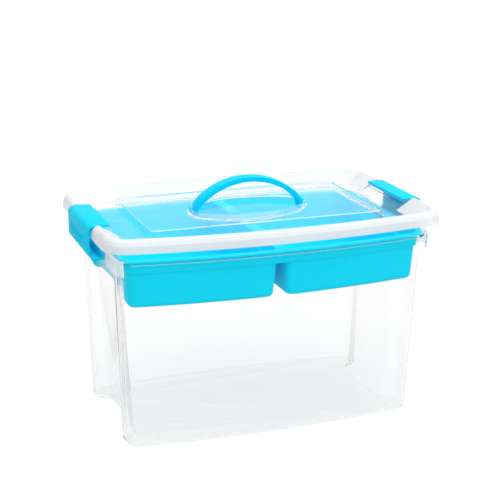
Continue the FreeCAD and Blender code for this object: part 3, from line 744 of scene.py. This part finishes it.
def make_insert():
    """A flange and band that follow the tub, with two wells and a slot between them."""
    flange_plan = inset(COLLAR_PLAN, WALL + 0.6 * MM)
    flange = fillet([(3 * MM, FLANGE_TOP), (0, FLANGE_TOP), (0, LEDGE), (2 * MM, LEDGE)],
                    [0.8 * MM, 0.8 * MM], steps=3)
    band = fillet([(BAND_GAP - 1 * MM, LEDGE), (BAND_GAP, LEDGE), (BAND_GAP, BAND_LOW),
                   (BAND_GAP + 2 * MM, BAND_LOW)], [0.6 * MM, 1.2 * MM], steps=3)
    rings = levels(fixed(flange_plan), flange[:-1]) + levels(wall_plan, band[1:])
    bm = bmesh.new()
    top_ring, band_ring = stack(bm, rings)
    well_tops, mouths = [], []
    for side in (1, -1):
        well_tops.append(stack(bm, well_outside(side), cap_last=True)[0])
        mouths.append(stack(bm, well_inside(side), cap_last=True)[0])
    fill_between(bm, [top_ring] + mouths, 1)
    fill_between(bm, [band_ring] + well_tops, -1)
    return settle(finish_mesh(bm, "tray_shell"), "tray_insert", "tray_insert", CYAN_TRAY_PAINTED_BRIGHTER)


# ---------------------------------------------------------------- studio
def make_camera():
    """Seen from the front left and a little above."""
    azimuth, pitch, roll = math.radians(20.016), math.radians(16.376), -0.004
    target = Vector((3.5 * MM, 0, 181.3 * MM))
    distance = 1455.2 * MM
    forward = Vector((math.sin(azimuth) * math.cos(pitch), math.cos(azimuth) * math.cos(pitch),
                      -math.sin(pitch)))
    data = bpy.data.cameras.new("camera")
    data.lens = 92.44
    data.sensor_width = 36.0
    camera = bpy.data.objects.new("camera", data)
    camera.location = target - forward * distance
    turn = forward.to_track_quat("-Z", "Y")
    turn.rotate(Quaternion(forward, roll))
    camera.rotation_euler = turn.to_euler()
    bpy.context.scene.collection.objects.link(camera)
    bpy.context.scene.camera = camera


def map_from_signed(tree, source, low, high):
    """Maps a -1 to 1 value on to a range."""
    mapping = tree.nodes.new("ShaderNodeMapRange")
    mapping.inputs["From Min"].default_value = -1.0
    mapping.inputs["To Min"].default_value = low
    mapping.inputs["To Max"].default_value = high
    tree.links.new(source, mapping.inputs["Value"])
    return mapping.outputs["Result"]


def add_room(tree):
    """The light of a white room: brighter above, and brighter to the front right."""
    room = tree.nodes.new("ShaderNodeBackground")
    direction = tree.nodes.new("ShaderNodeTexCoord").outputs["Generated"]
    split = tree.nodes.new("ShaderNodeSeparateXYZ")
    tree.links.new(direction, split.inputs["Vector"])
    ramp = tree.nodes.new("ShaderNodeValToRGB")
    tree.links.new(map_from_signed(tree, split.outputs["Z"], 0.0, 1.0), ramp.inputs["Fac"])
    stops = ramp.color_ramp.elements
    stops[0].position, stops[0].color = 0.45, (0.62, 0.62, 0.62, 1)
    stops[1].position, stops[1].color = 0.85, (1.90, 1.90, 1.90, 1)
    tree.links.new(ramp.outputs["Color"], room.inputs["Color"])
    side = tree.nodes.new("ShaderNodeVectorMath")
    side.operation = "DOT_PRODUCT"
    side.inputs[1].default_value = (0.7, -0.7, 0)
    tree.links.new(direction, side.inputs[0])
    tree.links.new(map_from_signed(tree, side.outputs["Value"], 0.50, 1.15), room.inputs["Strength"])
    return room


def make_world():
    """A white room for the light, and plain white behind things."""
    world = bpy.data.worlds.new("studio")
    bpy.context.scene.world = world
    world.use_nodes = True
    tree = world.node_tree
    tree.nodes.clear()
    output = tree.nodes.new("ShaderNodeOutputWorld")
    plain = tree.nodes.new("ShaderNodeBackground")
    plain.inputs["Color"].default_value = (1, 1, 1, 1)
    path = tree.nodes.new("ShaderNodeLightPath")
    tree.links.new(spread(tree, path.outputs["Is Camera Ray"], 1.0, 1.1), plain.inputs["Strength"])
    mix = tree.nodes.new("ShaderNodeMixShader")
    tree.links.new(seen_plainly(tree), mix.inputs["Fac"])
    tree.links.new(add_room(tree).outputs["Background"], mix.inputs[1])
    tree.links.new(plain.outputs["Background"], mix.inputs[2])
    tree.links.new(mix.outputs["Shader"], output.inputs["Surface"])


def make_floor():
    """A wide pale floor: plain and bright where it is seen, duller where it lights the box."""
    bm = bmesh.new()
    bmesh.ops.create_grid(bm, x_segments=8, y_segments=8, size=4.0)
    floor = finish_mesh(bm, "studio_floor")
    material, tree, shader = nodes_of("floor_paint")
    shader.inputs["Base Color"].default_value = (0.34, 0.34, 0.34, 1)
    shader.inputs["Emission Color"].default_value = (1, 1, 1, 1)
    tree.links.new(spread(tree, seen_plainly(tree), 0.30, 0.72), shader.inputs["Emission Strength"])
    shader.inputs["Specular IOR Level"].default_value = 0.1
    tree.links.new(spread(tree, add_noise(tree, 40), 0.7, 0.8), shader.inputs["Roughness"])
    floor.data.materials.append(material)


make_tub()
make_corner_skirts()
make_lid()
make_pivot_ears()
make_handle()
make_latch("latch_right", 1)
make_latch("latch_left", -1)
make_insert()
make_camera()
make_world()
make_floor()

scene = bpy.context.scene
scene.view_settings.view_transform = "Standard"
scene.cycles.max_bounces = 24
scene.cycles.transmission_bounces = 24
scene.cycles.transparent_max_bounces = 16
